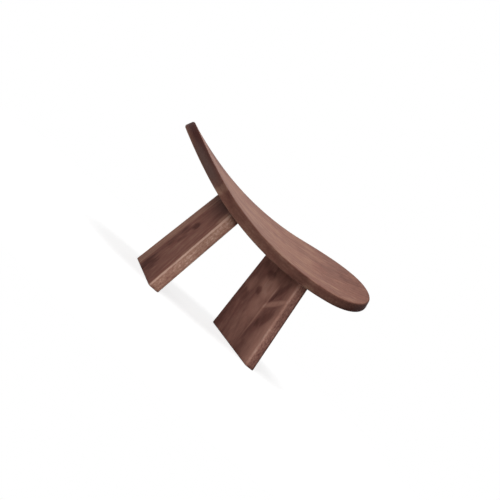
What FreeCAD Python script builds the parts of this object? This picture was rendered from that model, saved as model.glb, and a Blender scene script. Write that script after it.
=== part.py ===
"""Kneeling stool: a bent wooden seat on two splayed board legs, joined by hidden dowels.

Millimetres, +Z up. The origin is on the floor below the middle of the seat. The front,
where the knees point and the seat is lower, is -Y. Left and right are as seen from the front.
"""

import FreeCAD, Part
import math
import os

# Seat: a board with half-round ends, bent along its length and sloped forward
SEAT_LENGTH = 460.0  # measured along the bend
SEAT_WIDTH = 220.0
SEAT_THICKNESS = 18.0
SEAT_BEND_RADIUS = 600.0  # to the middle of the thickness
SEAT_TOP_ROUND = 2.0  # radius round the top
SEAT_UNDER_EASE = 1.5  # chamfer round the underside
SEAT_SLOPE = 9.0  # degrees, the front edge is lower
SEAT_HEIGHT = 184.0  # floor to the middle of the thickness, at the lowest line of the bend

# Legs: tapered boards that splay to the sides and turn their back edges inward
LEG_THICKNESS = 20.0
LEG_FOOT_DEPTH = 168.0  # front to back at the floor
LEG_TAPER = 4.2  # degrees, on the front edge and on the back edge
LEG_SPLAY = 8.0  # degrees from upright
LEG_TOE = 5.8  # degrees, turned about the upright
LEG_EDGE_ROUND = 3.0
LEG_FOOT_EASE = 1.0  # chamfer round the foot
LEG_SPREAD = 207.0  # between the middles of the feet
LEG_SETBACK = 2.5  # from the middle of the seat back to the middles of the feet
GLUE_LINE = 0.1  # between the top of a leg and the underside of the seat

# Dowels: fluted pins glued into the top of each leg and the underside of the seat
DOWEL_COUNT = 3  # in each leg
DOWEL_SPACING = 45.0
DOWEL_DIAMETER = 8.0
DOWEL_IN_SEAT = 10.0
DOWEL_IN_LEG = 30.0
DOWEL_CLEARANCE = 0.05  # between a dowel and the wall of its hole
DOWEL_END_ROOM = 1.0  # for spare glue at each end of a hole
FLUTE_COUNT = 6
FLUTE_RADIUS = 0.8
FLUTE_DEPTH = 0.4

LEFT = -1
RIGHT = 1
ORIGIN = FreeCAD.Vector(0, 0, 0)
X_AXIS = FreeCAD.Vector(1, 0, 0)
Y_AXIS = FreeCAD.Vector(0, 1, 0)
Z_AXIS = FreeCAD.Vector(0, 0, 1)
TOP_RADIUS = SEAT_BEND_RADIUS - SEAT_THICKNESS / 2
UNDERSIDE_RADIUS = SEAT_BEND_RADIUS + SEAT_THICKNESS / 2
WALL_RADII = (TOP_RADIUS - SEAT_THICKNESS, UNDERSIDE_RADIUS + SEAT_THICKNESS)
SIDE_ANGLE = (SEAT_LENGTH - SEAT_WIDTH) / 2 / SEAT_BEND_RADIUS  # radians, half of a straight side
END_ANGLE = SEAT_WIDTH / 2 / SEAT_BEND_RADIUS  # radians, a half-round end


def seat_placement():
    """Where the seat stands: sloped, with the middle of its board above the origin."""
    return FreeCAD.Placement(FreeCAD.Vector(0, 0, SEAT_HEIGHT), FreeCAD.Rotation(X_AXIS, SEAT_SLOPE))


def leg_placement(side):
    """Where a leg stands: the middle of its foot is the origin of the leg's own frame."""
    toe = FreeCAD.Rotation(Z_AXIS, side * LEG_TOE)
    splay = FreeCAD.Rotation(Y_AXIS, -side * LEG_SPLAY)
    foot = FreeCAD.Vector(side * LEG_SPREAD / 2, LEG_SETBACK, 0)
    return FreeCAD.Placement(foot, toe.multiply(splay))


def bend_cylinder(radius):
    """A solid roll about the axis of the bend, twice as wide as the seat, in the seat's frame."""
    start = FreeCAD.Vector(0, -SEAT_WIDTH, SEAT_BEND_RADIUS)
    return Part.makeCylinder(radius, 2 * SEAT_WIDTH, start, Y_AXIS)


def side_wall(width):
    """The flat wall along one straight side of the seat."""
    arcs = []
    for radius in WALL_RADII:
        points = []
        for angle in (-SIDE_ANGLE, 0, SIDE_ANGLE):
            height = SEAT_BEND_RADIUS - radius * math.cos(angle)
            points.append(FreeCAD.Vector(radius * math.sin(angle), width, height))
        arcs.append(Part.Arc(*points).toShape())
    return Part.Face(Part.makeRuledSurface(*arcs).OuterWire)


def end_wall(side):
    """The wall round one end of the seat, square to the bend.

    The end is half-round on the flat blank. On a roll, where length counts as an angle,
    it is half an ellipse.
    """
    point = FreeCAD.Base.Vector2d
    lowest = math.pi / 2  # the angle of a roll's lowest line
    centre = lowest - side * SIDE_ANGLE
    across = point(centre, SEAT_WIDTH / 2)
    along = point(centre - side * END_ANGLE, 0)
    ellipse = Part.Geom2d.Ellipse2d(across, along, point(centre, 0))
    half_round = Part.Geom2d.ArcOfEllipse2d(ellipse, 0, math.pi)
    rims = []
    for radius in WALL_RADII:
        roll = Part.Cylinder()
        roll.Center = Z_AXIS * SEAT_BEND_RADIUS
        roll.Axis = Y_AXIS
        roll.Radius = radius
        rims.append(half_round.toShape(roll))
    return Part.makeRuledSurface(*rims)


def rim_wall():
    """The wall that trims the bent board all the way round."""
    sides = [side_wall(-SEAT_WIDTH / 2), side_wall(SEAT_WIDTH / 2)]
    wall = Part.makeShell(sides + [end_wall(LEFT), end_wall(RIGHT)])
    wall.sewShape()
    return wall


def rim_edges(board, radius):
    """The edges of the board that run along a roll of the given radius."""
    edges = []
    for edge in board.Edges:
        middle = edge.valueAt((edge.FirstParameter + edge.LastParameter) / 2)
        distance = math.hypot(middle.x, middle.z - SEAT_BEND_RADIUS)
        if abs(distance - radius) < SEAT_THICKNESS / 8:
            edges.append(edge)
    return edges


def seat_board():
    """The bent board with eased rims, before the dowel holes are drilled."""
    hoop = bend_cylinder(UNDERSIDE_RADIUS).cut(bend_cylinder(TOP_RADIUS))
    pieces, _ = hoop.generalFuse([rim_wall()])
    board = min(pieces.Solids, key=lambda piece: piece.Volume)
    board = board.makeFillet(SEAT_TOP_ROUND, rim_edges(board, TOP_RADIUS))
    board = board.makeChamfer(SEAT_UNDER_EASE, rim_edges(board, UNDERSIDE_RADIUS)).Solids[0]
    board.Placement = seat_placement()
    return board


def leg_blank():
    """A tapered board with rounded long edges, longer than the leg at both ends."""
    low = -LEG_THICKNESS
    high = SEAT_HEIGHT + SEAT_WIDTH
    outline = []
    for height, edge in ((low, -1), (low, 1), (high, 1), (high, -1)):
        half_depth = LEG_FOOT_DEPTH / 2 - height * math.tan(math.radians(LEG_TAPER))
        outline.append(FreeCAD.Vector(-LEG_THICKNESS / 2, edge * half_depth, height))
    face = Part.Face(Part.makePolygon(outline + outline[:1]))
    board = face.extrude(X_AXIS * LEG_THICKNESS)
    long_edges = [edge for edge in board.Edges if edge.BoundBox.ZLength > high]
    return board.makeFillet(LEG_EDGE_ROUND, long_edges)


def leg_board(side):
    """A leg cut flat at the floor and hollowed at the top to fit the seat's underside."""
    board = leg_blank()
    board.Placement = leg_placement(side)
    reach = SEAT_LENGTH + LEG_SPREAD
    ground = Part.makeBox(2 * reach, 2 * reach, reach, FreeCAD.Vector(-reach, -reach, -reach))
    roll = bend_cylinder(UNDERSIDE_RADIUS + GLUE_LINE)
    roll.Placement = seat_placement().multiply(roll.Placement)
    leg = board.cut([ground, roll]).Solids[0]
    foot_edges = [edge for edge in leg.Edges if edge.BoundBox.ZMax < LEG_FOOT_EASE / 2]
    return leg.makeChamfer(LEG_FOOT_EASE, foot_edges).Solids[0]


def meet_underside(start, direction):
    """Where a line that rises from the floor meets the underside of the seat."""
    to_seat = seat_placement().inverse()
    local_start = to_seat.multVec(start)
    local_direction = to_seat.Rotation.multVec(direction)
    from_axis = FreeCAD.Vector(local_start.x, 0, local_start.z - SEAT_BEND_RADIUS)
    across = FreeCAD.Vector(local_direction.x, 0, local_direction.z)
    square = across.dot(across)
    half = across.dot(from_axis)
    rest = from_axis.dot(from_axis) - UNDERSIDE_RADIUS**2
    distance = (-half - math.sqrt(half**2 - square * rest)) / square
    return start + direction * distance


def dowel_placements(side):
    """Where a leg's dowels sit: along the leg, with the origin of each at the joint."""
    placement = leg_placement(side)
    direction = placement.Rotation.multVec(Z_AXIS)
    placements = []
    for index in range(DOWEL_COUNT):
        offset = (index - (DOWEL_COUNT - 1) / 2) * DOWEL_SPACING
        start = placement.multVec(FreeCAD.Vector(0, offset, 0))
        placements.append(FreeCAD.Placement(meet_underside(start, direction), placement.Rotation))
    return placements


def dowel_pin():
    """A pin with glue flutes along it. Its origin is at the joint, with the seat above."""
    length = DOWEL_IN_LEG + DOWEL_IN_SEAT
    base = FreeCAD.Vector(0, 0, -DOWEL_IN_LEG)
    flute_centre = base + X_AXIS * (DOWEL_DIAMETER / 2 + FLUTE_RADIUS - FLUTE_DEPTH)
    flutes = []
    for index in range(FLUTE_COUNT):
        flute = Part.makeCylinder(FLUTE_RADIUS, length, flute_centre)
        flute.rotate(ORIGIN, Z_AXIS, index * 360 / FLUTE_COUNT)
        flutes.append(flute)
    return Part.makeCylinder(DOWEL_DIAMETER / 2, length, base).cut(flutes).Solids[0]


def dowel_hole():
    """The drilling that takes half of a dowel in the leg and half in the seat."""
    base = FreeCAD.Vector(0, 0, -DOWEL_IN_LEG - DOWEL_END_ROOM)
    length = DOWEL_IN_LEG + DOWEL_IN_SEAT + 2 * DOWEL_END_ROOM
    return Part.makeCylinder(DOWEL_DIAMETER / 2 + DOWEL_CLEARANCE, length, base)


def placed_copies(shape, placements):
    """One copy of a shape at each placement."""
    copies = []
    for placement in placements:
        item = shape.copy()
        item.Placement = placement.multiply(item.Placement)
        copies.append(item)
    return copies


def build():
    """All pieces of the stool, by the names of their files. A leg's dowels count from the front."""
    pieces = {}
    seat = seat_board()
    for side, name in ((LEFT, "left"), (RIGHT, "right")):
        placements = dowel_placements(side)
        holes = placed_copies(dowel_hole(), placements)
        seat = seat.cut(holes).Solids[0]
        pieces[name + "_leg"] = leg_board(side).cut(holes).Solids[0]
        for number, dowel in enumerate(placed_copies(dowel_pin(), placements), start=1):
            pieces[f"{name}_dowel_{number}"] = dowel
    pieces["seat"] = seat
    return pieces


os.makedirs("parts", exist_ok=True)
for node, shape in build().items():
    shape.exportStep(os.path.join("parts", node + ".step"))
    print(node, len(shape.Solids), "solids,", round(shape.Volume / 1000, 1), "cm3, valid:", shape.isValid())
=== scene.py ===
"""Looks of the kneeling stool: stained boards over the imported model, a white studio and a camera.

Metres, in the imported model's frame: +Z up, the front is -Y, left and right are as seen from the front.
"""

import logging
import math
from dataclasses import dataclass
from enum import Enum
from typing import Callable, Optional, Sequence, Union

import bpy
from mathutils import Matrix, Vector, noise


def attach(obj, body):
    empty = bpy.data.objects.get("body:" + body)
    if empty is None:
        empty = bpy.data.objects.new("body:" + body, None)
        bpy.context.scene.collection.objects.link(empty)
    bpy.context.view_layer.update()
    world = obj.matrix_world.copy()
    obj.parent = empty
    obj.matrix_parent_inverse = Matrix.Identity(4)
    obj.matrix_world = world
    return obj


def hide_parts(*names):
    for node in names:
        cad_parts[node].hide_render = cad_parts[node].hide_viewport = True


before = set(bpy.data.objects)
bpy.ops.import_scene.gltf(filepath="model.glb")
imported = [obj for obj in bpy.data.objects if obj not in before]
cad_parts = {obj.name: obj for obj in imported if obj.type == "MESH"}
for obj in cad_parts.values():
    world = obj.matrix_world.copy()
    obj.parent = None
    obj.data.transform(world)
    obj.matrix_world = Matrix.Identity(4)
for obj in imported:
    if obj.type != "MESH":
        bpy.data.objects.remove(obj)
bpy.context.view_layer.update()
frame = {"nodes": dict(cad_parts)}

LOG = logging.getLogger("kneeling_stool")
MM = 0.001
BODY = "root"
GRAIN = "grain"  # mesh attribute: place along the grain, across it and through the thickness
DRESS = "dress"  # mesh attribute: wear and a painted highlight on eased edges, stain of the edge grain with painted shade along the seat's rims, painted shade under the seat on the legs and a painted grey reflection on the seat's left end
IMAGE_SIZE = 500  # pixels, as the photograph
SEAT_WIDTH = 220 * MM
FOOT_DEPTH = 168 * MM  # of a leg, front to back
LEG_TAPER = 4.2  # degrees, on the front edge and on the back edge
MEAN = 0.5  # of a noise, and the tone of plain wood
OCTAVE_SHARE = 0.55  # strength of each finer octave of a noise, beside the one before
MARK_DEPTHS = (-2 * MM, 4 * MM)  # over which a mark of the figure comes in towards its face
MARK_REACH = 1.3  # where a mark ends, as the square of the distance in half sizes

Colour = tuple[float, float, float, float]
Number = Union[float, "Wire"]


class Side(Enum):
    """The two legs, as seen from the front."""

    LEFT = -1
    RIGHT = 1


class Face(Enum):
    """Which wide face of a board a mark of the figure shows on, by the sign of its depth."""

    LOW = -1
    HIGH = 1


class Edge(Enum):
    """Which edge of a leg's board a strip follows, by the sign of its place across."""

    FRONT = -1
    BACK = 1


def srgb(red: int, green: int, blue: int) -> Colour:
    """Turn display values from 0 to 255 into the linear colour that a shader takes.

    Args:
        red: The red display value.
        green: The green display value.
        blue: The blue display value.

    Returns:
        The linear colour, opaque.
    """
    channels = []
    for value in (red, green, blue):
        share = value / 255
        channels.append(share / 12.92 if share <= 0.04045 else ((share + 0.055) / 1.055) ** 2.4)
    return (channels[0], channels[1], channels[2], 1.0)


def spread(low: float, high: float, steps: int) -> list[float]:
    """Evenly spaced values from low to high, one more than the steps between them."""
    return [low + (high - low) * step / steps for step in range(steps + 1)]


def bearing(azimuth: float, elevation: float) -> Vector:
    """The way from the stool to a lamp or the camera.

    Args:
        azimuth: Degrees from the front, towards the right.
        elevation: Degrees above the level.

    Returns:
        The way, as a vector of length 1.
    """
    around = math.radians(azimuth)
    rise = math.radians(elevation)
    level = math.cos(rise)
    return Vector((math.sin(around) * level, -math.cos(around) * level, math.sin(rise)))


class Wire:
    """A socket of a node tree. Arithmetic on it adds Math nodes."""

    def __init__(self, graph: "Graph", socket: Optional[bpy.types.NodeSocket]) -> None:
        """Keep the socket and the graph that it belongs to."""
        self.graph = graph
        self.socket = socket

    def _math(self, operation: str, first: Number, second: Number) -> "Wire":
        """Add one Math node and return its result."""
        inputs = {"Value": first, "Value_001": second}
        return self.graph.node("ShaderNodeMath", {"operation": operation}, inputs)

    def __add__(self, other: Number) -> "Wire":
        """This value plus another."""
        return self._math("ADD", self, other)

    def __radd__(self, other: float) -> "Wire":
        """A number plus this value."""
        return self._math("ADD", other, self)

    def __sub__(self, other: Number) -> "Wire":
        """This value minus another."""
        return self._math("SUBTRACT", self, other)

    def __rsub__(self, other: float) -> "Wire":
        """A number minus this value."""
        return self._math("SUBTRACT", other, self)

    def __mul__(self, other: Number) -> "Wire":
        """This value times another."""
        return self._math("MULTIPLY", self, other)

    def __rmul__(self, other: float) -> "Wire":
        """A number times this value."""
        return self._math("MULTIPLY", other, self)

    def __truediv__(self, other: Number) -> "Wire":
        """This value divided by another."""
        return self._math("DIVIDE", self, other)

    def __rtruediv__(self, other: float) -> "Wire":
        """A number divided by this value."""
        return self._math("DIVIDE", other, self)

    def __pow__(self, other: Number) -> "Wire":
        """This value raised to a power."""
        return self._math("POWER", self, other)

    def __rpow__(self, other: float) -> "Wire":
        """A number raised to this value."""
        return self._math("POWER", other, self)

    def sine(self) -> "Wire":
        """The sine of this value, in radians."""
        return self._math("SINE", self, 0.0)

    def larger(self, other: Number) -> "Wire":
        """The larger of this value and another."""
        return self._math("MAXIMUM", self, other)

    def step(self, low: float, high: float) -> "Wire":
        """A smooth step of this value from 0 at low to 1 at high, which may be the lower one."""
        inputs = {"Value": self, "From Min": low, "From Max": high, "To Min": 0.0, "To Max": 1.0}
        return self.graph.node("ShaderNodeMapRange", {"interpolation_type": "SMOOTHSTEP"}, inputs)


class Graph:
    """The node tree of a material or of the world."""

    def __init__(self, owner: Union[bpy.types.Material, bpy.types.World]) -> None:
        """Start with an empty tree.

        Args:
            owner: What the tree belongs to.
        """
        owner.use_nodes = True
        self.tree = owner.node_tree
        self.tree.nodes.clear()

    def node(self, kind: str, settings: dict, inputs: dict, output: Optional[str] = None) -> Wire:
        """Add a node.

        Args:
            kind: The node's type.
            settings: What is set on the node first. "stops" holds a ramp's places and colours.
            inputs: A value or a Wire for each socket, by its name or identifier.
            output: The output wanted, or None for the first.

        Returns:
            The output as a Wire, or a Wire of None where the node has no output.
        """
        made = self.tree.nodes.new(kind)
        for key, value in settings.items():
            if key == "stops":
                self._set_stops(made.color_ramp, value)
            else:
                setattr(made, key, value)
        for key, value in inputs.items():
            socket = self._find(made.inputs, key)
            if isinstance(value, Wire):
                self.tree.links.new(value.socket, socket)
            else:
                socket.default_value = value
        if not made.outputs:
            return Wire(self, None)
        return Wire(self, self._find(made.outputs, output) if output else made.outputs[0])

    @staticmethod
    def _find(sockets: Sequence[bpy.types.NodeSocket], key: str) -> bpy.types.NodeSocket:
        """Find a socket.

        Args:
            sockets: A node's inputs or outputs.
            key: The socket's identifier, or else its name.

        Returns:
            The socket.
        """
        for socket in sockets:
            if socket.identifier == key:
                return socket
        return next(socket for socket in sockets if socket.name == key and socket.enabled)

    @staticmethod
    def _set_stops(ramp: bpy.types.ColorRamp, stops: Sequence[tuple[float, Colour]]) -> None:
        """Give a ramp its stops.

        Args:
            ramp: The ramp of a node.
            stops: The places along the ramp with their colours.
        """
        while len(ramp.elements) < len(stops):
            ramp.elements.new(1.0)
        for element, (place, colour) in zip(ramp.elements, stops):
            element.position = place
            element.color = colour

    def mix(self, factor: Number, first: Union[Colour, Wire], second: Union[Colour, Wire]) -> Wire:
        """Mix two colours: the first at factor 0, the second at factor 1."""
        inputs = {"Factor_Float": factor, "A_Color": first, "B_Color": second}
        return self.node("ShaderNodeMix", {"data_type": "RGBA"}, inputs, "Result_Color")

    def attribute(self, name: str) -> Wire:
        """A vector attribute of the mesh."""
        return self.node("ShaderNodeAttribute", {"attribute_name": name}, {}, "Vector")

    def parts(self, vector: Wire) -> tuple[Wire, Wire, Wire]:
        """The three components of a vector."""
        made = self.node("ShaderNodeSeparateXYZ", {}, {"Vector": vector}).socket.node
        return (Wire(self, made.outputs[0]), Wire(self, made.outputs[1]), Wire(self, made.outputs[2]))

    def stretched_noise(self, place: Wire, waves: Sequence[float], detail: float) -> Wire:
        """Noise drawn out along the grain.

        Args:
            place: The place in the wood.
            waves: Waves per metre along each of the place's three directions.
            detail: Octaves of finer noise.

        Returns:
            The noise, about 0.5 on average.
        """
        inputs = {"Vector": place, "Vector_001": waves}
        scaled = self.node("ShaderNodeVectorMath", {"operation": "MULTIPLY"}, inputs)
        inputs = {"Vector": scaled, "Scale": 1.0, "Detail": detail, "Roughness": OCTAVE_SHARE}
        return self.node("ShaderNodeTexNoise", {"noise_dimensions": "3D"}, inputs, "Fac")


@dataclass(frozen=True)
class GrainNoise:
    """A noise of a board's figure, drawn out along the grain."""

    along: float  # waves per metre
    across: float  # waves per metre, through the thickness as well
    detail: float  # octaves of finer noise

    def on(self, graph: Graph, place: Wire) -> Wire:
        """The noise at a place that the grain attribute gives."""
        return graph.stretched_noise(place, (self.along, self.across, self.across), self.detail)


@dataclass(frozen=True)
class Mark:
    """A soft ellipse of another tone on one wide face: mostly a streak, knot or pale patch of a board's
    figure, some a painted highlight, painted light or painted shade.
    """

    along: float  # in millimetres, as the next three
    across: float
    half_length: float
    half_width: float
    tone: float  # below 0 darker, above 0 paler
    face: Face = Face.LOW
    lean: float = 0.0  # degrees


@dataclass(frozen=True)
class Band:
    """A strip of another tone that follows an edge of a board: pale sapwood, a painted highlight along a
    rounded edge, or painted shade along a far edge.
    """

    edge: Edge
    width: float  # in millimetres, as all but its tone
    soft: float  # how far its border fades and wanders
    tone: float
    depths: tuple[float, float] = (1000, 500)  # it fades in from the first to the second, here everywhere


@dataclass(frozen=True)
class StainedWood:
    """A dark reddish-brown stain under satin lacquer, on a board sawn from a log, with painted shade and
    highlights laid into its colour.
    """

    name: str
    pith_across: float  # from the middle of the board to the heart of the log
    pith_depth: float
    tilt: float  # how fast the heart of the log nears the board along its length
    ring: float  # spacing of the growth rings
    sway: float  # how far the rings wander
    ring_tone: float  # how much the rings darken and lighten the stain
    shade_and_reflection: float  # how far the colour turns to the painted shade and reflection colour: painted shade under the seat on the legs, a painted grey reflection on the seat's left end
    wear_and_highlight_tone: float  # how much paler the eased edges are, as wear and as a painted highlight along them
    marks: tuple[Mark, ...]
    bands: tuple[Band, ...] = ()
    slot: str = "leg_wood"
    half_width: float = FOOT_DEPTH / 2  # of the board, where it is widest
    taper: float = math.tan(math.radians(LEG_TAPER))  # narrowing of each edge per length
    edge_stain_and_shade: float = 0.0  # how much more stain the edge grain takes up; on the seat it also lays painted shade along the rims
    gloss: float = 0.005
    blotch_tone: float = 0.7
    ray_tone: float = 1.15  # how strongly the cut rays fleck the edge grain
    wander: GrainNoise = GrainNoise(3.0, 11.0, 1.0)  # of the rings
    blotch: GrainNoise = GrainNoise(16.0, 34.0, 3.0)
    fleck: GrainNoise = GrainNoise(60.0, 140.0, 2.0)
    fibre: GrainNoise = GrainNoise(26.0, 620.0, 4.0)
    pore: GrainNoise = GrainNoise(90.0, 2300.0, 1.0)
    ray: GrainNoise = GrainNoise(240.0, 420.0, 2.0)
    flush: GrainNoise = GrainNoise(26.0, 55.0, 2.0)
    pore_limits: tuple[float, float] = (0.6, 0.72)  # of its noise, where pores come in
    flush_limits: tuple[float, float] = (0.42, 0.72)  # of its noise, where the red flush comes in
    fleck_tone: float = 0.4
    fibre_tone: float = 0.2
    pore_tone: float = 0.1
    face_ray_tone: float = 0.12  # of the rays on the wide faces
    least_wear: float = 0.1  # how much of the wear shows where the blotches are darkest
    blotch_rag: float = 1.2  # how far the blotches fray the marks
    fleck_rag: float = 0.9  # how far the flecks do
    flush_share: float = 0.22
    stops: tuple[float, ...] = (0.0, 0.4, 0.8, 1.0)  # of the dark, middle, pale and bright colours
    tone_scale: float = 0.8  # from a tone to its place among the stops
    fibre_height: float = 0.4  # in the relief, as the next two
    ring_height: float = 0.15
    pore_depth: float = 0.8
    relief: float = 0.2 * MM
    relief_strength: float = 0.25
    roughness: float = 0.44
    blotch_roughness: float = 0.16
    pore_roughness: float = 0.12
    edge_roughness: float = 0.12  # on the edge grain and on worn edges
    deep: Colour = srgb(62, 36, 32)
    dark: Colour = srgb(97, 60, 53)
    middle: Colour = srgb(142, 97, 85)
    pale: Colour = srgb(187, 144, 125)
    bright: Colour = srgb(216, 178, 160)
    blush: Colour = srgb(140, 86, 77)
    # the colour of the painted shade and reflection
    shade_and_reflection_colour: Colour = srgb(62, 36, 32)

    def material(self) -> bpy.types.Material:
        """Make the finish as a node material.

        Returns:
            The material.
        """
        made = bpy.data.materials.new(self.name)
        graph = Graph(made)
        place = graph.attribute(GRAIN)
        along, across, depth = graph.parts(place)
        wear, edge, shade_and_reflection = graph.parts(graph.attribute(DRESS))

        rings = self._rings(graph, place, along, across, depth)
        blotch = self.blotch.on(graph, place)
        fleck = self.fleck.on(graph, place)
        fibre = self.fibre.on(graph, place)
        pores = self.pore.on(graph, place).step(*self.pore_limits)
        rays = self.ray.on(graph, place)
        flush = self.flush.on(graph, place).step(*self.flush_limits)

        tone = MEAN + (rings - MEAN) * self.ring_tone + (blotch - MEAN) * self.blotch_tone
        tone = tone + (fleck - MEAN) * self.fleck_tone + (fibre - MEAN) * self.fibre_tone
        tone = tone - pores * self.pore_tone
        tone = tone + (rays - MEAN) * (self.face_ray_tone + edge * self.ray_tone)
        # paler eased edges: wear, and a painted highlight
        tone = tone + wear * (blotch + self.least_wear) * self.wear_and_highlight_tone
        ragged = (blotch - MEAN) * self.blotch_rag + (fleck - MEAN) * self.fleck_rag
        for mark in self.marks:
            tone = tone + self._mark(mark, along, across, depth, ragged)
        for band in self.bands:
            tone = tone + self._band(band, along, across, depth, blotch)
        stops = list(zip(self.stops, (self.dark, self.middle, self.pale, self.bright)))
        inputs = {"Fac": tone * self.tone_scale}
        colour = graph.node("ShaderNodeValToRGB", {"stops": stops}, inputs, "Color")
        colour = graph.mix(flush * self.flush_share, colour, self.blush)
        # On the seat the edge stain also lays painted shade along the rims; the next mix lays painted
        # shade under the seat on the legs and a painted grey reflection on the seat's left end.
        colour = graph.mix(edge * self.edge_stain_and_shade, colour, self.deep)
        colour = graph.mix(shade_and_reflection * self.shade_and_reflection, colour, self.shade_and_reflection_colour)

        height = fibre * self.fibre_height + rings * self.ring_height - pores * self.pore_depth
        inputs = {"Strength": self.relief_strength, "Distance": self.relief, "Height": height}
        normal = graph.node("ShaderNodeBump", {}, inputs)
        roughness = self.roughness + blotch * self.blotch_roughness + pores * self.pore_roughness
        inputs = {
            "Base Color": colour,
            "Roughness": roughness + (edge + wear) * self.edge_roughness,
            "Specular IOR Level": self.gloss,
            "Normal": normal,
        }
        surface = graph.node("ShaderNodeBsdfPrincipled", {}, inputs)
        graph.node("ShaderNodeOutputMaterial", {}, {"Surface": surface})
        return made

    def _rings(self, graph: Graph, place: Wire, along: Wire, across: Wire, depth: Wire) -> Wire:
        """The growth rings where the board cuts them.

        Args:
            graph: The finish's node tree.
            place: The grain attribute.
            along: The place along the grain.
            across: The place across it.
            depth: The place through the thickness.

        Returns:
            The rings, from 0 in the narrow late wood to 1 in the wide early wood.
        """
        sunk = depth - along * self.tilt - self.pith_depth
        from_pith = ((across - self.pith_across) ** 2.0 + sunk ** 2.0) ** 0.5
        wander = self.wander.on(graph, place) * self.sway
        turns = (from_pith + wander) * (2 * math.pi / self.ring)
        return (turns.sine() * 0.5 + 0.5) ** 0.5

    @staticmethod
    def _mark(mark: Mark, along: Wire, across: Wire, depth: Wire, ragged: Wire) -> Wire:
        """What one mark adds to the tone.

        Args:
            mark: The mark.
            along: The place along the grain.
            across: The place across it.
            depth: The place through the thickness.
            ragged: What frays the mark's border.

        Returns:
            The tone to add.
        """
        cosine = math.cos(math.radians(mark.lean))
        sine = math.sin(math.radians(mark.lean))
        far = along - mark.along * MM
        off = across - mark.across * MM
        length = (far * cosine + off * sine) / (mark.half_length * MM)
        width = (off * cosine - far * sine) / (mark.half_width * MM)
        distance = length * length + width * width + ragged
        on_face = (depth * mark.face.value).step(*MARK_DEPTHS)
        return distance.step(MARK_REACH, 0.0) * on_face * mark.tone

    def _band(self, band: Band, along: Wire, across: Wire, depth: Wire, blotch: Wire) -> Wire:
        """What one band adds to the tone.

        Args:
            band: The band.
            along: The place along the grain.
            across: The place across it.
            depth: The place through the thickness.
            blotch: The noise that the band's border follows.

        Returns:
            The tone to add.
        """
        from_edge = self.half_width - along * self.taper - across * band.edge.value
        from_edge = from_edge + (blotch - MEAN) * (band.soft * MM)
        strip = from_edge.step((band.width + band.soft) * MM, (band.width - band.soft) * MM)
        start, full = band.depths
        return strip * depth.step(start * MM, full * MM) * band.tone


@dataclass(frozen=True)
class BareBeech:
    """Pale unfinished wood, for the dowels inside the joints."""

    name: str = "bare_beech"
    pale: Colour = srgb(214, 181, 140)
    dark: Colour = srgb(178, 138, 98)
    fleck_waves: tuple[float, float, float] = (900.0, 900.0, 60.0)  # per metre, drawn out upward
    fleck_detail: float = 3.0
    roughness: float = 0.55
    fleck_roughness: float = 0.2

    def material(self) -> bpy.types.Material:
        """Make the finish as a node material.

        Returns:
            The material.
        """
        made = bpy.data.materials.new(self.name)
        graph = Graph(made)
        place = graph.node("ShaderNodeTexCoord", {}, {}, "Object")
        flecks = graph.stretched_noise(place, self.fleck_waves, self.fleck_detail)
        colour = graph.mix(flecks, self.dark, self.pale)
        inputs = {"Base Color": colour, "Roughness": self.roughness + flecks * self.fleck_roughness}
        surface = graph.node("ShaderNodeBsdfPrincipled", {}, inputs)
        graph.node("ShaderNodeOutputMaterial", {}, {"Surface": surface})
        return made


@dataclass
class Skin:
    """A closed mesh made of rings of points, each ring with the same number of points.

    The first point of a ring and the one half way round lie on the ring's line of symmetry, and
    points equally far from them face each other, so a cap is a row of faces across the ring.
    """

    rings: list[Sequence[Vector]]
    grain: list[Sequence[Vector]]
    dress: list[Sequence[Vector]]
    blunt: int = 1  # points from the middle of a ring's end to the first one that isn't in line with it

    def build(self, name: str) -> bpy.types.Object:
        """Make the mesh object.

        Args:
            name: The piece's name.

        Returns:
            The object, linked to the scene.
        """
        count = len(self.rings[0])
        faces = []
        for low in range(len(self.rings) - 1):
            for point in range(count):
                here = low * count + point
                beside = low * count + (point + 1) % count
                faces.append((here, beside, beside + count, here + count))
        last = (len(self.rings) - 1) * count
        faces += [tuple(reversed(face)) for face in self._cap(0, count)] + self._cap(last, count)
        mesh = bpy.data.meshes.new(name)
        mesh.from_pydata([tuple(point) for ring in self.rings for point in ring], [], faces)
        for key, rows in ((GRAIN, self.grain), (DRESS, self.dress)):
            layer = mesh.attributes.new(key, "FLOAT_VECTOR", "POINT")
            layer.data.foreach_set("vector", [value for row in rows for point in row for value in point])
        mesh.shade_smooth()
        mesh.validate()
        made = bpy.data.objects.new(name, mesh)
        bpy.context.scene.collection.objects.link(made)
        return made

    def _cap(self, first: int, count: int) -> list[tuple[int, ...]]:
        """Close a ring with a row of faces across it, and a fan over the points in line at each end.

        Args:
            first: The number of the ring's first point.
            count: How many points the ring has.

        Returns:
            Each face as the numbers of its points.
        """
        faces = []
        for middle in (0, count // 2):
            reach = range(-self.blunt, self.blunt + 1)
            line = [first + (middle + step) % count for step in reach]
            faces += [(line[0], line[step], line[step + 1]) for step in range(1, self.blunt)]
            faces.append((line[0], line[self.blunt], line[-1]))
            for step in range(self.blunt, 2 * self.blunt - 1):
                faces.append((line[step], line[step + 1], line[-1]))
        for point in range(self.blunt, count // 2 - self.blunt):
            near = first + point
            opposite = first + count - point
            faces.append((near, near + 1, opposite - 1, opposite))
        return faces


@dataclass(frozen=True)
class EndStainAndShade:
    """More stain on the seat's wall towards one of its ends, where the end grain takes it up; at the right
    end it is also painted shade, where the wall turns from the light.
    """

    start: float  # from the middle of the seat
    reach: float  # from there to where the stain is in full
    strength: float
    power: float = 1.5  # how late along the reach it comes in

    def share(self, along: float) -> float:
        """How much stain there is at a place along the seat."""
        way = min(1.0, max(0.0, abs(along) - self.start) / self.reach)
        return self.strength * way**self.power


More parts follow.
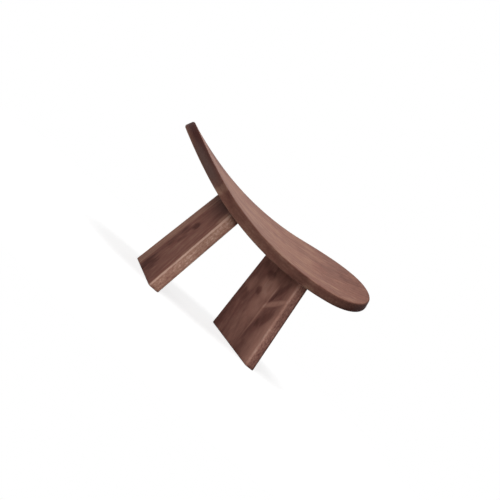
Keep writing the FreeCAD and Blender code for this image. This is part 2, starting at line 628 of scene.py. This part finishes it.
@dataclass(frozen=True)
class RimPoint:
    """A point of the section through the seat's rim."""

    inset: float  # from the outline
    level: float  # over the middle of the thickness
    # wear: paler eased edges, as wear and as a painted highlight
    wear: float = 0.0
    wall: float = 0.0  # its share of the wall's stain and painted shade
    top: float = 0.0  # its share of the painted shade along the top's rim


@dataclass
class BentSeat:
    """The seat: a board with half-round ends, bent along its length and sloped forward."""

    finish: StainedWood
    length: float = 460 * MM
    width: float = SEAT_WIDTH
    thickness: float = 18 * MM
    bend_radius: float = 600 * MM
    slope: float = 9.0  # degrees
    height: float = 184 * MM
    top_round: float = 2 * MM
    under_round: float = 1.8 * MM
    tip_round: float = 4 * MM  # of both rims at the tips
    unevenness: float = 0.15 * MM
    swell_waves: tuple[float, float] = (9.0, 13.0)  # of the unevenness, per metre along and across
    swell_seed: float = 2.0
    side_stain: float = 0.36  # how much stain the edge grain of the long sides takes up
    left_end: EndStainAndShade = EndStainAndShade(110 * MM, 115 * MM, 0.68)
    # starts nearer the middle than the left end's: partly painted shade on the wall that turns from the
    # light
    right_end: EndStainAndShade = EndStainAndShade(92 * MM, 95 * MM, 0.66)
    shade_lean: float = 0.35  # painted shade on the wall: darker high on the left and low on the right
    rim_left: float = 0.8  # share of the wall's stain and painted shade at its lower rim, on the left
    rim_right: float = 1.25  # and on the right, where more painted shade darkens the lower rim
    rim_turn: float = 60 * MM  # from the middle to where the right side's share is reached
    rim_fade: float = 8 * MM  # from the lower rim to where the wall has its full stain and painted shade
    top_rim_shade: float = 0.22  # painted shade along the top's rim, in the middle
    top_slope: float = 2.5  # how fast it lessens towards the right, per metre
    top_limits: tuple[float, float] = (0.06, 0.45)
    top_shade_fade: float = 10 * MM  # how far the painted shade of the top's rim runs in over the top
    stain_turn: int = 4  # powers of the sine of the turn from the wall to the top
    wear_turn: int = 6
    reflection_start: tuple[float, float] = (150 * MM, 178 * MM)  # where the painted grey reflection on the left end's wall comes in
    reflection_stop: tuple[float, float] = (226 * MM, 210 * MM)  # and where it is plain again
    insets: tuple[float, ...] = tuple(inset * MM for inset in (98, 80, 62, 44, 28, 16, 9, 5))
    wall_steps: int = 4
    side_steps: int = 30
    end_steps: int = 48
    round_steps: int = 6

    def placement(self) -> Matrix:
        """From the seat's own frame to the model's frame."""
        return Matrix.Translation((0, 0, self.height)) @ Matrix.Rotation(math.radians(self.slope), 4, "X")

    def bent(self, flat: Vector) -> Vector:
        """Bend a point of the flat blank and put it where the seat stands.

        Args:
            flat: Its place along, across and above the middle of the blank.

        Returns:
            The point in the model's frame.
        """
        radius = self.bend_radius - flat.z
        angle = flat.x / self.bend_radius
        rise = self.bend_radius - radius * math.cos(angle)
        return self.placement() @ Vector((radius * math.sin(angle), flat.y, rise))

    def outline(self) -> list[tuple[Vector, Vector]]:
        """The blank's outline, from the right tip round by the back.

        Returns:
            For each point the place on the blank's middle line that it lies out from, and the way out.
        """
        straight = (self.length - self.width) / 2
        quarter = self.end_steps // 2
        rays = [(straight, angle) for angle in spread(0, math.pi / 2, quarter)[:-1]]
        rays += [(place, math.pi / 2) for place in spread(straight, -straight, self.side_steps)[:-1]]
        rays += [(-straight, angle) for angle in spread(math.pi / 2, 3 * math.pi / 2, self.end_steps)[:-1]]
        rays += [(place, -math.pi / 2) for place in spread(-straight, straight, self.side_steps)[:-1]]
        rays += [(straight, angle) for angle in spread(-math.pi / 2, 0, quarter)[:-1]]
        outline = []
        for place, angle in rays:
            outward = Vector((math.cos(angle), math.sin(angle), 0))
            outline.append((Vector((place, 0, 0)), outward))
        return outline

    def profile(self, tip: float) -> list[RimPoint]:
        """The rim's section from the middle of the underside to the middle of the top.

        Args:
            tip: 0 on the long sides, 1 at the tips, where the rims are worn rounder.

        Returns:
            The section's points.
        """
        top = self.top_round + (self.tip_round - self.top_round) * tip
        under = self.under_round + (self.tip_round - self.under_round) * tip
        half = self.thickness / 2 - self.unevenness
        points = [RimPoint(inset, -half) for inset in self.insets]
        for angle in spread(0, math.pi / 2, self.round_steps):
            inset = under * (1 - math.sin(angle))
            level = -half + under * (1 - math.cos(angle))
            points.append(RimPoint(inset, level, math.sin(2 * angle), math.sin(angle) ** 2))
        for level in spread(-half + under, half - top, self.wall_steps)[1:-1]:
            points.append(RimPoint(0.0, level, wall=1.0))
        for angle in spread(0, math.pi / 2, self.round_steps):
            inset = top * (1 - math.cos(angle))
            level = half - top * (1 - math.sin(angle))
            turned = math.sin(angle) ** self.stain_turn
            points.append(RimPoint(inset, level, math.sin(angle) ** self.wear_turn, 1 - turned, turned))
        for inset in reversed(self.insets):
            points.append(RimPoint(inset, half, top=math.exp(-inset / self.top_shade_fade)))
        return points

    def _rim_share(self, along: float, level: float) -> float:
        """How much of the wall's stain and painted shade stays at a level, where the lower rim has its own
        share.

        Args:
            along: Place along the seat.
            level: Height over the middle of the thickness.

        Returns:
            The share, 1 above the lower rim.
        """
        way = min(1.0, max(0.0, along) / self.rim_turn)
        rim = self.rim_left + (self.rim_right - self.rim_left) * way
        return rim + (1 - rim) * min(1.0, (level + self.thickness / 2) / self.rim_fade)

    def _painted_grey_reflection(self, along: float, level: float) -> float:
        """How strong the painted grey reflection on the left end's wall is, from 0 to 1, at a place and a
        level.
        """
        shares = [(-along - low) / (high - low) for low, high in (self.reflection_start, self.reflection_stop)]
        return max(0.0, min(1.0, *shares)) * min(1.0, 1 - 2 * level / self.thickness)

    def _place(self, anchor: Vector, outward: Vector, point: RimPoint) -> Vector:
        """Where a point of the rim's section is on the flat blank.

        Args:
            anchor: The place on the blank's middle line that the section lies out from.
            outward: The way out.
            point: The section's point.

        Returns:
            The place along, across and above the middle of the blank.
        """
        flat = anchor + outward * (self.width / 2 - self.unevenness - point.inset)
        along, across = self.swell_waves
        swell = noise.noise(Vector((flat.x * along, flat.y * across, self.swell_seed)))
        return Vector((flat.x, flat.y, point.level + swell * self.unevenness))

    def _coats(self, along: float, point: RimPoint) -> Vector:
        """How the wood is dressed at a point of the rim's section.

        Args:
            along: Place along the seat.
            point: The section's point.

        Returns:
            The wear with its painted highlight, the edge stain with painted shade, and the painted grey
            reflection.
        """
        end = self.right_end if along > 0 else self.left_end
        lean = 1 - self.shade_lean * (2 * point.level / self.thickness) * (2 * along / self.length)
        wall = lean * self._rim_share(along, point.level) * (self.side_stain + end.share(along))
        least, most = self.top_limits
        top = min(most, max(least, self.top_rim_shade - self.top_slope * along))
        stain_and_shade = min(1.0, point.wall * wall + point.top * top)
        return Vector((point.wear, stain_and_shade, point.wall * self._painted_grey_reflection(along, point.level)))

    def build(self) -> bpy.types.Object:
        """Make the board, give it its finish and put it in the place of the seat's solid.

        Returns:
            The piece.
        """
        columns = []
        dress = []
        for anchor, outward in self.outline():
            points = self.profile(outward.x**2)
            column = [self._place(anchor, outward, point) for point in points]
            columns.append(column)
            dress.append([self._coats(flat.x, point) for flat, point in zip(column, points)])
        rings = [[self.bent(flat) for flat in ring] for ring in zip(*columns)]
        skin = Skin(rings, list(zip(*columns)), list(zip(*dress)))
        piece = skin.build("seat_board")
        piece.data.materials.append(self.finish.material())
        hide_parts("seat")
        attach(piece, BODY)
        return piece


@dataclass
class BoardLeg:
    """A leg: a tapered board that splays outward, toes in at the back and fits under the seat."""

    side: Side
    finish: StainedWood
    seat: BentSeat
    thickness: float = 20 * MM
    foot_depth: float = FOOT_DEPTH
    taper: float = LEG_TAPER
    splay: float = 8.0  # degrees, as the taper and the toe
    toe: float = 5.8
    edge_round: float = 3 * MM
    foot_ease: float = 1 * MM
    spread: float = 207 * MM
    setback: float = 2.5 * MM
    glue_line: float = 0.15 * MM
    unevenness: float = 0.12 * MM
    swell_waves: tuple[float, float] = (11.0, 14.0)  # of the unevenness, per metre along and across
    swell_seed: float = 3.0
    swell_ramp: float = 12.0  # how fast the unevenness comes in from both ends, per length of the leg
    joint_shade_reach: float = 48 * MM  # how far the painted shade under the seat runs down the wide faces
    corner_shade_reach: float = 13 * MM  # and down the narrow ones
    clear_front: float = 30 * MM  # the painted shade on the wide faces fades out over this width at the front edge
    face_steps: int = 16
    edge_steps: int = 4
    round_steps: int = 5
    length_steps: int = 32
    solver_steps: int = 12
    solver_limit: float = 1e-12

    def placement(self) -> Matrix:
        """Where the leg stands.

        Returns:
            The move from the leg's own frame, at the middle of its foot, to the model's frame.
        """
        sign = self.side.value
        foot = Matrix.Translation((sign * self.spread / 2, self.setback, 0))
        toe = Matrix.Rotation(math.radians(sign * self.toe), 4, "Z")
        return foot @ toe @ Matrix.Rotation(math.radians(-sign * self.splay), 4, "Y")

    def section(self, height: float) -> list[tuple[float, float, float]]:
        """The board's outline at a height along the leg, from the middle of its front edge.

        Args:
            height: Distance from the foot along the leg.

        Returns:
            For each point its depth through the thickness, its place across and its wear, which also
            carries a painted highlight.
        """
        half = self.thickness / 2
        radius = self.edge_round
        reach = self._half_depth(height)
        flat = half - radius
        front_half = [(depth, -reach, 0.0) for depth in spread(0, flat, self.edge_steps // 2)[:-1]]
        for angle in spread(0, math.pi / 2, self.round_steps):
            depth = flat + radius * math.sin(angle)
            front_half.append((depth, -reach + radius * (1 - math.cos(angle)), math.sin(2 * angle)))
        inner = reach - radius
        side = [(half, place, 0.0) for place in spread(-inner, 0, self.face_steps // 2)[1:-1]]
        quarter = front_half + side
        back_quarter = [(depth, -place, wear) for depth, place, wear in reversed(quarter[1:])]
        right = quarter + [(half, 0.0, 0.0)] + back_quarter
        left = [(-depth, place, wear) for depth, place, wear in reversed(right[1:])]
        return right + [(0.0, reach, 0.0)] + left

    def _half_depth(self, height: float) -> float:
        """Half of the board's depth from front to back, at a height along the leg."""
        return self.foot_depth / 2 - height * math.tan(math.radians(self.taper))

    def column(self, point: int) -> tuple[Vector, Vector]:
        """The two ends of one line of points along the leg, in the leg's own frame.

        Args:
            point: The number of the section's point that the line follows.

        Returns:
            The end on the floor and the end under the seat.
        """
        low, high = (self._at(point, height) for height in (0.0, self.seat.height))
        placement = self.placement()
        to_seat = self.seat.placement().inverted() @ placement
        target = self.seat.bend_radius + self.seat.thickness / 2 + self.glue_line

        def above_floor(place: Vector) -> float:
            """How far a point in the model's frame is above the floor."""
            return place.z

        def above_underside(place: Vector) -> float:
            """How far a point in the seat's frame is above the seat's underside."""
            return target - math.hypot(place.x, place.z - self.seat.bend_radius)

        floor = self._share(above_floor, placement @ low, placement @ high)
        under = self._share(above_underside, to_seat @ low, to_seat @ high)
        return low.lerp(high, floor), low.lerp(high, under)

    def _at(self, point: int, height: float) -> Vector:
        """A point of the section at a height, in the leg's own frame."""
        depth, across, _ = self.section(height)[point]
        return Vector((depth, across, height))

    def _share(self, measure: Callable[[Vector], float], low: Vector, high: Vector) -> float:
        """Find where a measure passes through 0 on a line, by secants.

        Args:
            measure: What is measured at a point.
            low: The line's first point.
            high: The line's last point.

        Returns:
            The share of the way from the first point to the last.
        """
        first, second = 0.0, 1.0
        for _ in range(self.solver_steps):
            at_first = measure(low.lerp(high, first))
            at_second = measure(low.lerp(high, second))
            change = at_second - at_first
            if abs(change) < self.solver_limit:
                break
            first, second = second, second - at_second * (second - first) / change
        return second

    def _place(self, low: Vector, high: Vector, share: float) -> Vector:
        """A point of the mesh, in the leg's own frame.

        Args:
            low: The end on the floor of the line that the point is on.
            high: That line's end under the seat.
            share: The share of the way along the line.

        Returns:
            The point, with the foot's ease and the board's unevenness.
        """
        place = low.lerp(high, share)
        if share == 0.0:
            place.x *= 1 - 2 * self.foot_ease / self.thickness
            place.y *= 1 - 2 * self.foot_ease / self.foot_depth
            place.z -= (self.placement() @ place).z / math.cos(math.radians(self.splay))
        fade = min(1.0, self.swell_ramp * share, self.swell_ramp * (1 - share))
        along, across = self.swell_waves
        seed = self.side.value * self.swell_seed
        swell = noise.noise(Vector((place.z * along, place.y * across, seed)))
        thinned = 1 - fade * self.unevenness / self.thickness
        place.x = place.x * thinned + swell * fade * self.unevenness
        return place

    def _coats(self, wear: float, place: Vector, below: float) -> Vector:
        """How the wood is dressed at a point of the mesh.

        Args:
            wear: The wear of the section's point.
            place: The point in the leg's own frame.
            below: How far it is below the joint.

        Returns:
            The wear with its painted highlight, the share of edge grain and the painted shade under the
            seat.
        """
        wide = (2 * place.x / self.thickness) ** 2
        behind = self._half_depth(place.z) + place.y
        near = max(0.0, 1 - below / self.joint_shade_reach) * wide * min(1.0, behind / self.clear_front)
        corner = max(0.0, 1 - below / self.corner_shade_reach)
        return Vector((wear, 1 - min(1.0, wide), max(near, corner)))

    def build(self) -> bpy.types.Object:
        """Make the board, give it its finish and put it in the place of the leg's solid.

        Returns:
            The piece.
        """
        name = self.side.name.lower() + "_leg"
        placement = self.placement()
        wears = [wear for _, _, wear in self.section(0.0)]
        columns = [self.column(point) for point in range(len(wears))]
        shares = [0.0, self.foot_ease / self.seat.height] + spread(0, 1, self.length_steps)[1:]
        skin = Skin([], [], [], blunt=self.edge_steps // 2 + 1)
        for share in shares:
            places = [self._place(low, high, share) for low, high in columns]
            dress = []
            for wear, place, (_, high) in zip(wears, places, columns):
                dress.append(self._coats(wear, place, high.z - place.z))
            skin.rings.append([placement @ place for place in places])
            skin.grain.append([Vector((place.z, place.y, place.x)) for place in places])
            skin.dress.append(dress)
        piece = skin.build(name + "_board")
        piece.data.materials.append(self.finish.material())
        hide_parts(name)
        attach(piece, BODY)
        return piece


@dataclass
class JointDowels:
    """The fluted dowels inside the joints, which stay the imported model's solids."""

    finish: BareBeech
    word: str = "dowel"  # in the names of their nodes

    def dress(self, nodes: dict[str, bpy.types.Object]) -> list[bpy.types.Object]:
        """Give the dowels their finish.

        Args:
            nodes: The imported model's nodes, by name.

        Returns:
            The dowels.
        """
        made = self.finish.material()
        dowels = [node for name, node in nodes.items() if self.word in name]
        for dowel in dowels:
            for slot in dowel.material_slots:
                slot.material = made
        return dowels


@dataclass(frozen=True)
class Lamp:
    """A soft square lamp that looks at the middle of the stool."""

    name: str
    azimuth: float  # degrees from the front, towards the right
    elevation: float  # degrees
    distance: float
    size: float
    power: float  # watts
    gleams: bool = True  # whether it shows in glossy surfaces


@dataclass
class Studio:
    """A white studio: a pale floor, an even white surround and soft lamps."""

    target: Vector
    lamps: tuple[Lamp, ...]
    fill: float = 0.175  # strength of the surround as light on the object
    white: Colour = (1.0, 1.0, 1.0, 1.0)
    floor_size: float = 12.0
    floor_colour: Colour = (0.4, 0.4, 0.4, 1.0)  # as light falls on it
    floor_glow: float = 0.8  # what the eye sees of the floor where no light falls
    shadow_fade: tuple[float, float] = (0.25, 0.7)  # distances over which the floor turns plain white

    def build(self) -> None:
        """Make the floor, the world and the lamps."""
        self._floor()
        self._surround()
        for lamp in self.lamps:
            self._hang(lamp)

    def _floor(self) -> None:
        """A flat floor that keeps the stool's shadow and looks white."""
        half = self.floor_size / 2
        mesh = bpy.data.meshes.new("studio_floor")
        corners = [(-half, -half, 0), (half, -half, 0), (half, half, 0), (-half, half, 0)]
        mesh.from_pydata(corners, [], [(0, 1, 2, 3)])
        floor = bpy.data.objects.new("studio_floor", mesh)
        bpy.context.scene.collection.objects.link(floor)
        made = bpy.data.materials.new("white_paper")
        graph = Graph(made)
        lit = graph.node("ShaderNodeBsdfDiffuse", {}, {"Color": self.floor_colour})
        glow = graph.node("ShaderNodeEmission", {}, {"Color": self.white, "Strength": self.floor_glow})
        near = graph.node("ShaderNodeAddShader", {}, {"Shader": lit, "Shader_001": glow})
        far = graph.node("ShaderNodeEmission", {}, {"Color": self.white, "Strength": 1.0})
        place = graph.node("ShaderNodeTexCoord", {}, {}, "Object")
        radius = graph.node("ShaderNodeVectorMath", {"operation": "LENGTH"}, {"Vector": place}, "Value")
        inputs = {"Fac": radius.step(*self.shadow_fade), "Shader": near, "Shader_001": far}
        seen = graph.node("ShaderNodeMixShader", {}, inputs)
        inputs = {"Fac": self._seen_rays(graph), "Shader": lit, "Shader_001": seen}
        surface = graph.node("ShaderNodeMixShader", {}, inputs)
        graph.node("ShaderNodeOutputMaterial", {}, {"Surface": surface})
        mesh.materials.append(made)

    def _surround(self) -> None:
        """A world that is white to the eye and in reflections, and a soft fill light on the object."""
        world = bpy.data.worlds.new("white_surround")
        bpy.context.scene.world = world
        graph = Graph(world)
        lit = graph.node("ShaderNodeBackground", {}, {"Color": self.white, "Strength": self.fill})
        seen = graph.node("ShaderNodeBackground", {}, {"Color": self.white, "Strength": 1.0})
        inputs = {"Fac": self._seen_rays(graph), "Shader": lit, "Shader_001": seen}
        surface = graph.node("ShaderNodeMixShader", {}, inputs)
        graph.node("ShaderNodeOutputWorld", {}, {"Surface": surface})

    @staticmethod
    def _seen_rays(graph: Graph) -> Wire:
        """Tell what is seen from what only lights the object.

        Args:
            graph: The node tree that asks.

        Returns:
            1 for what the eye sees straight, in reflections or through glass, and else 0.
        """
        rays = ("Is Camera Ray", "Is Glossy Ray", "Is Transmission Ray")
        camera, glossy, through = (graph.node("ShaderNodeLightPath", {}, {}, ray) for ray in rays)
        return camera.larger(glossy).larger(through)

    def _hang(self, lamp: Lamp) -> None:
        """Hang one lamp and aim it.

        Args:
            lamp: The lamp.
        """
        away = bearing(lamp.azimuth, lamp.elevation)
        data = bpy.data.lights.new(lamp.name, "AREA")
        data.size = lamp.size
        data.energy = lamp.power
        made = bpy.data.objects.new(lamp.name, data)
        made.visible_glossy = lamp.gleams
        made.location = self.target + away * lamp.distance
        made.rotation_euler = away.to_track_quat("Z", "Y").to_euler()
        bpy.context.scene.collection.objects.link(made)


@dataclass(frozen=True)
class PhotoCamera:
    """The photograph's view: level, from the front left, with the picture turned."""

    target: Vector
    azimuth: float = -25.134  # degrees from the front, towards the right
    elevation: float = 0.0
    roll: float = 42.97  # degrees that the picture is turned by
    distance: float = 1.557
    target_column: float = 264.657  # pixel of the picture where the target is
    target_row: float = 232.317
    pixels_per_metre: float = 589.0  # at the target's distance
    sensor: float = 36.0  # in millimetres, as the lens

    def build(self) -> None:
        """Make the camera and use it."""
        back = bearing(self.azimuth, self.elevation)
        right = Vector((0, 0, 1)).cross(back).normalized()
        up = back.cross(right)
        roll = math.radians(self.roll)
        column = right * math.cos(roll) + up * math.sin(roll)
        row = up * math.cos(roll) - right * math.sin(roll)
        data = bpy.data.cameras.new("photo_camera")
        data.sensor_width = self.sensor
        data.sensor_fit = "HORIZONTAL"
        data.lens = self.sensor * self.pixels_per_metre * self.distance / IMAGE_SIZE
        data.shift_x = 0.5 - self.target_column / IMAGE_SIZE
        data.shift_y = self.target_row / IMAGE_SIZE - 0.5
        made = bpy.data.objects.new("photo_camera", data)
        turned = Matrix((column, row, back)).transposed().to_4x4()
        made.matrix_world = Matrix.Translation(self.target + back * self.distance) @ turned
        bpy.context.scene.collection.objects.link(made)
        bpy.context.scene.camera = made


SEAT_WOOD = StainedWood(
    name="seat_stain_and_painted_light",
    slot="seat_wood",
    half_width=SEAT_WIDTH / 2,
    taper=0.0,
    pith_across=18 * MM,
    pith_depth=-64 * MM,
    tilt=0.07,
    ring=5 * MM,
    sway=16 * MM,
    ring_tone=0.05,
    blotch_tone=0.8,
    edge_stain_and_shade=1.0,
    shade_and_reflection=0.85,
    gloss=0.05,
    wear_and_highlight_tone=0.15,
    ray_tone=1.0,
    fleck=GrainNoise(70.0, 135.0, 2.0),
    fibre=GrainNoise(11.0, 270.0, 4.0),
    fibre_tone=0.45,
    marks=(
        Mark(190, -20, 90, 120, -0.16, Face.HIGH),
        Mark(-30, 0, 130, 90, 0.12, Face.HIGH),
        Mark(195, 8, 28, 36, -0.18, Face.HIGH),
        Mark(140, 50, 50, 34, 0.1, Face.HIGH),
        Mark(-128, 82, 40, 40, -0.24, Face.HIGH),
        Mark(-155, -85, 28, 30, -0.22, Face.HIGH),
        Mark(30, 22, 60, 16, -0.07, Face.HIGH),
        Mark(-60, -45, 55, 22, 0.07, Face.HIGH),
        # painted highlight along the top rim near the right tip
        Mark(160, -91, 26, 7, 0.16, Face.HIGH, lean=25.0),
        Mark(36, -110, 30, 9, -0.3, Face.HIGH),
        Mark(36, -110, 30, 9, -0.25),
        Mark(74, -110, 13, 8, 0.2, Face.HIGH),
        Mark(74, -110, 13, 8, 0.2),
        # painted highlight on the front wall near the left leg
        Mark(-154, -104, 8, 14, 0.3, Face.HIGH),
        Mark(-154, -104, 8, 14, 0.3),
    ),
    middle=srgb(141, 99, 85),
    pale=srgb(186, 147, 124),
    bright=srgb(214, 181, 158),
    # greyish: the painted reflection on the left end's wall
    shade_and_reflection_colour=srgb(88, 68, 63),
    deep=srgb(65, 35, 31),
)
LEFT_WOOD = StainedWood(
    name="left_leg_stain_and_painted_light",
    pith_across=-10 * MM,
    pith_depth=60 * MM,
    tilt=0.1,
    ring=7 * MM,
    sway=16 * MM,
    ring_tone=0.14,
    shade_and_reflection=0.9,
    # paler eased edges: wear and a strong painted highlight
    wear_and_highlight_tone=0.9,
    marks=(
        Mark(114, 4, 9, 17, -0.45),
        Mark(97, 21, 13, 17, -0.26),
        Mark(84, 1, 13, 10, -0.3),
        Mark(67, 8, 16, 15, -0.22),
        Mark(13, 8, 24, 32, -0.4),
        Mark(30, 8, 10, 12, 0.08),
        Mark(70, 31, 80, 9, -0.18),
        Mark(72, -38, 55, 20, 0.12),
        # pale patch that lifts some of the painted shade under the seat near the front edge
        Mark(156, -62, 18, 12, 0.4),
    ),
    bands=(
        Band(Edge.FRONT, 4, 2, 0.42),
        # painted shade along the far front edge
        Band(Edge.FRONT, 6, 3, -0.6, (4, 9)),
        Band(Edge.BACK, 36, 3, 0.28),
    ),
)
RIGHT_WOOD = StainedWood(
    name="right_leg_stain_and_painted_light",
    pith_across=-20 * MM,
    pith_depth=55 * MM,
    tilt=-0.12,
    ring=8 * MM,
    sway=20 * MM,
    ring_tone=0.05,
    shade_and_reflection=0.25,
    wear_and_highlight_tone=0.12,
    marks=(
        Mark(131, -40, 32, 8, -0.25, lean=-31.0),
        Mark(117, -33, 14, 5, -0.2, lean=-25.0),
        Mark(109, -46, 34, 6, 0.4, lean=-56.0),
        Mark(79, -49, 27, 11, -0.22, lean=-40.0),
        Mark(50, -29, 26, 6, -0.14, lean=-15.0),
        Mark(84, -23, 66, 3, 0.26, lean=-3.0),
        Mark(106, 20, 9, 10, -0.38),
        Mark(140, 13, 9, 17, -0.28),
        Mark(147, 40, 9, 20, -0.14),
        Mark(106, 50, 17, 15, 0.24),
        Mark(122, 0, 22, 34, 0.5),
        Mark(85, -6, 26, 26, 0.22),
        Mark(38, 10, 60, 26, 0.16),
        Mark(38, 72, 60, 18, -0.26),
        Mark(80, 56, 13, 20, -0.2),
        Mark(42, -47, 16, 9, 0.12),
        Mark(34, -66, 60, 20, 0.26),
        Mark(80, 10, 130, 120, 0.07),
        # painted light: lifts the seat's cast shadow at the top of the inner face
        Mark(156, -10, 22, 100, 0.12),
    ),
    bands=(
        # painted highlight along the rounded inner front edge
        Band(Edge.FRONT, 12, 11, 0.26, (-4, -8)),
        Band(Edge.FRONT, 4, 2, 0.1),
        # painted shade along the far front edge
        Band(Edge.FRONT, 6, 3, -0.55, (4, 9)),
    ),
    dark=srgb(95, 60, 54),
    middle=srgb(139, 97, 87),
    pale=srgb(194, 145, 129),
)
LAMPS = (
    Lamp("key_lamp", -8.0, 74.0, 1.8, 0.9, 20.0),
    Lamp("front_lamp", -40.0, 12.0, 1.8, 0.7, 10.5),
    Lamp("side_lamp", -130.0, 20.0, 1.8, 0.7, 3.0),
    Lamp("right_lamp", 145.0, 4.0, 1.8, 0.7, 7.0, gleams=False),
)


def main() -> None:
    """Build the stool's pieces, the studio and the camera."""
    logging.basicConfig(level=logging.INFO, format="%(name)s: %(message)s")
    bpy.context.scene.view_settings.view_transform = "Standard"
    seat = BentSeat(SEAT_WOOD)
    pieces = [seat.build()]
    pieces.append(BoardLeg(Side.LEFT, LEFT_WOOD, seat).build())
    pieces.append(BoardLeg(Side.RIGHT, RIGHT_WOOD, seat, joint_shade_reach=34 * MM).build())
    pieces += JointDowels(BareBeech()).dress(frame["nodes"])
    for piece in pieces:
        LOG.info("%s: %d points", piece.name, len(piece.data.vertices))
    target = Vector((0, 0, seat.height))
    Studio(target, LAMPS).build()
    PhotoCamera(target).build()


if __name__ == "__main__":
    main()
